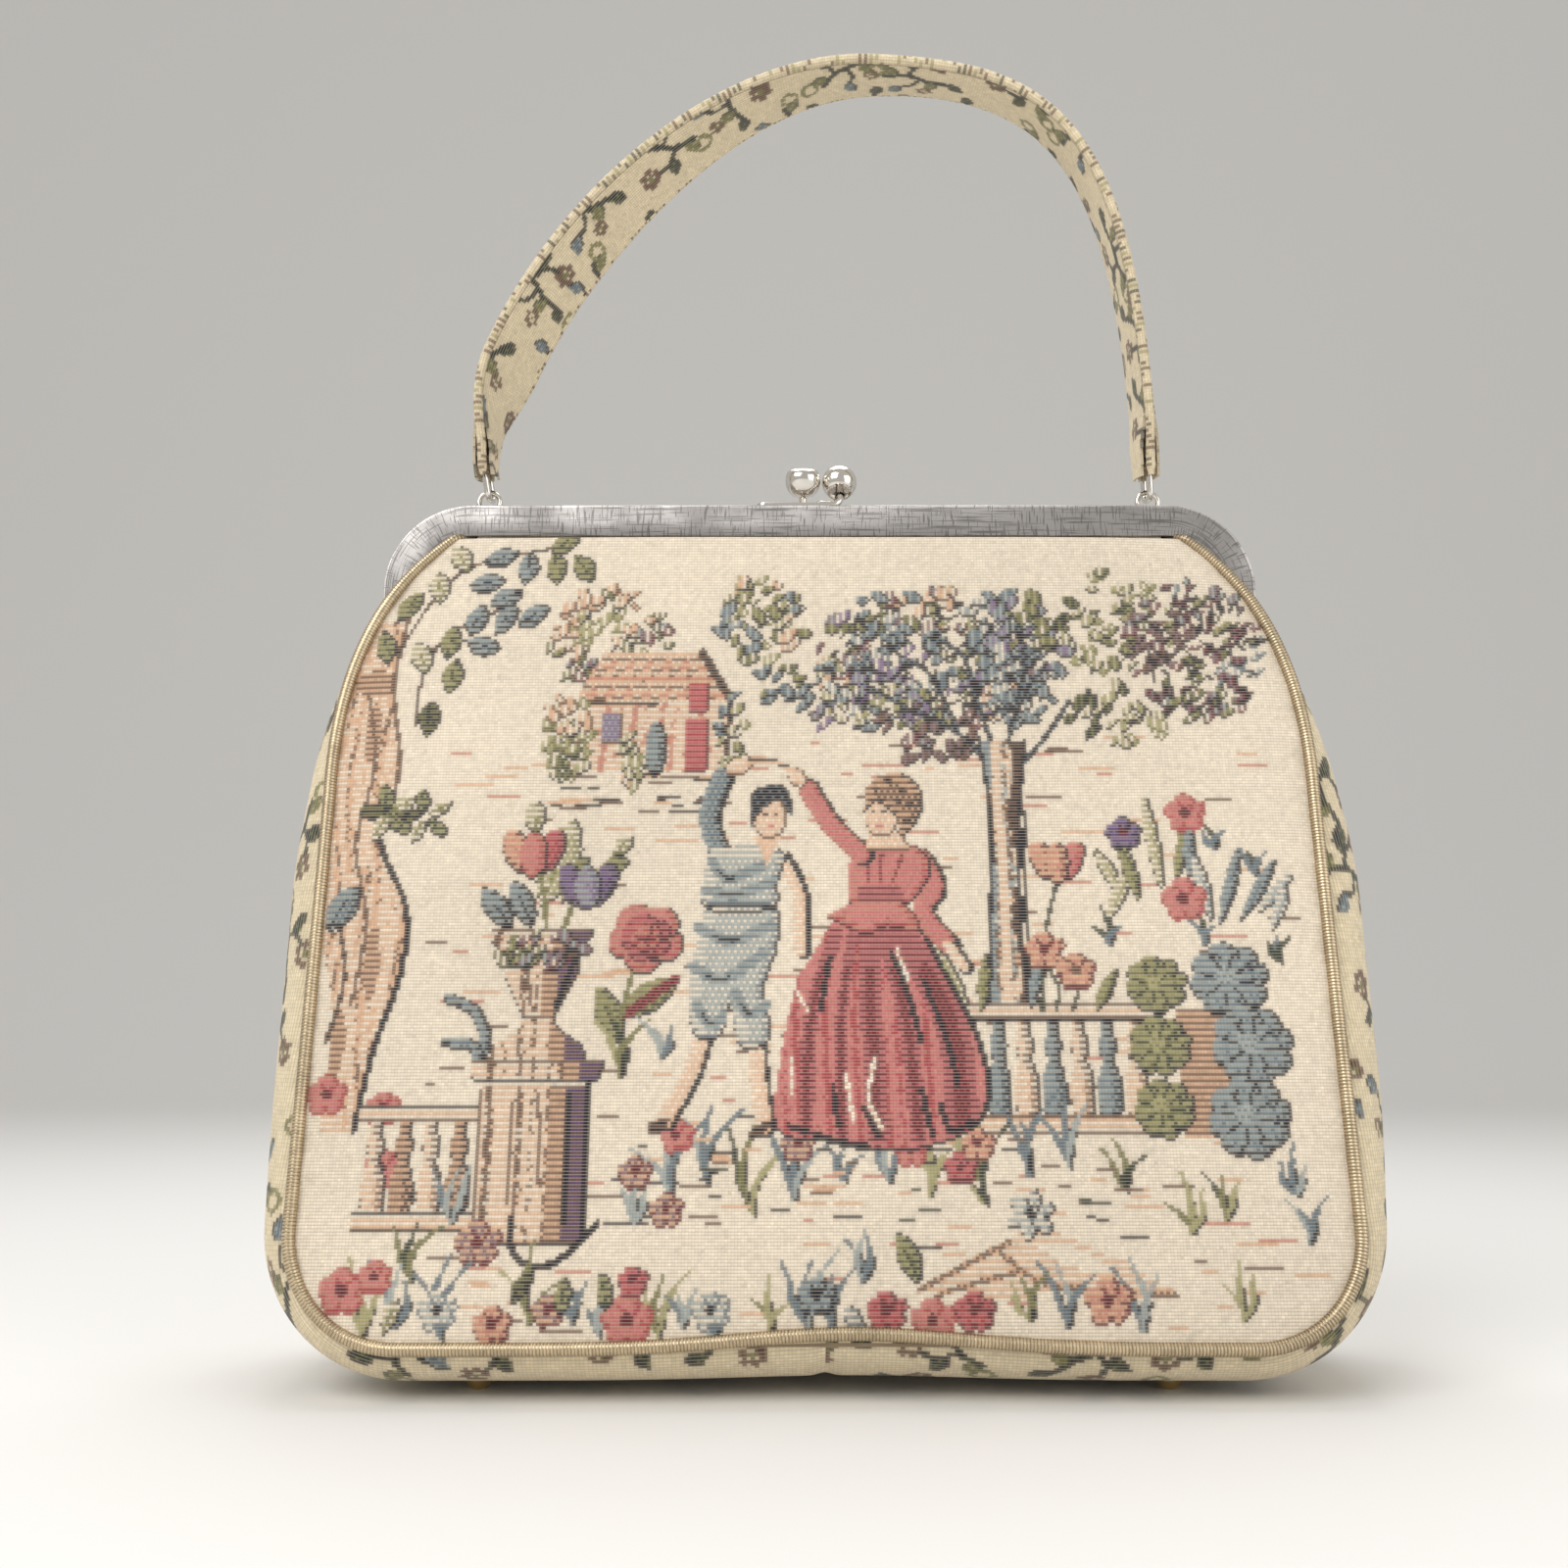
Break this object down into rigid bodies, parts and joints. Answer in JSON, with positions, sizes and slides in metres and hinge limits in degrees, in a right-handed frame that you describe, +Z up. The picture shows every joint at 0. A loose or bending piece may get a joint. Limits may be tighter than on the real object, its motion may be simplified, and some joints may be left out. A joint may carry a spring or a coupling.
{
  "type": "tapestry handbag",
  "caption": "Boxed tapestry cloth handbag with a hinged kiss-lock metal frame, corded piping, stud feet and a swinging fabric strap handle.",
  "frame": {"origin": "on the ground under the middle of the bag", "axes": "+X along the frame, to the right seen from the front; -Y towards the front; +Z up"},
  "size_m": [0.26, 0.077, 0.3257],
  "materials": {
    "tapestry": "woven tapestry, cream ground",
    "sprig_cloth": "woven cream cloth with small sprigs",
    "piping_cord": "fine ribbed metallic cord",
    "board": "plain board",
    "lining": "smooth lining cloth",
    "frame_metal": "brushed, cross-hatched silver",
    "bright_metal": "polished nickel",
    "foot_brass": "polished"
  },
  "bodies": {
    "bag_body": {"front_panel": "tapestry", "back_panel": "tapestry", "gusset_left": "sprig_cloth", "gusset_right": "sprig_cloth", "front_piping": "piping_cord", "back_piping": "piping_cord", "front_board": "board", "back_board": "board", "base_board": "board", "lining_front": "lining", "lining_back": "lining", "lining_gusset": "lining", "foot_front_left": "foot_brass", "foot_front_right": "foot_brass", "foot_back_left": "foot_brass", "foot_back_right": "foot_brass", "hinge_rivet_left": "frame_metal", "hinge_rivet_right": "frame_metal"},
    "front_frame_half": {"front_frame": "frame_metal", "clasp_arm": "bright_metal", "clasp_ball_right": "bright_metal"},
    "back_frame_half": {"back_frame": "frame_metal", "clasp_post": "bright_metal", "clasp_ball_left": "bright_metal", "eyelet_left": "bright_metal", "eyelet_right": "bright_metal"},
    "handle": {"link_left": "bright_metal", "link_right": "bright_metal", "strap_core": "board", "strap_outer": "sprig_cloth", "strap_inner": "sprig_cloth", "strap_welt_front": "sprig_cloth", "strap_welt_back": "sprig_cloth"}
  },
  "joints": [
    {"name": "front_frame_open", "type": "hinge", "parent": "bag_body", "child": "front_frame_half", "pos_m": [0, 0, 0.185], "axis": [1, 0, 0], "range_deg": [0, 45], "deforming": ["front_panel", "front_piping", "lining_front"]},
    {"name": "back_frame_open", "type": "hinge", "parent": "bag_body", "child": "back_frame_half", "pos_m": [0, 0, 0.185], "axis": [1, 0, 0], "range_deg": [-45, 0], "deforming": ["back_panel", "back_piping", "lining_back"]},
    {"name": "handle_swing", "type": "hinge", "parent": "back_frame_half", "child": "handle", "pos_m": [0, 0.00275, 0.2182], "axis": [1, 0, 0], "range_deg": [-94, 62]}
  ],
  "couplings": [
    {"joint": "back_frame_open", "follows": "front_frame_open", "ratio": -1}
  ]
}
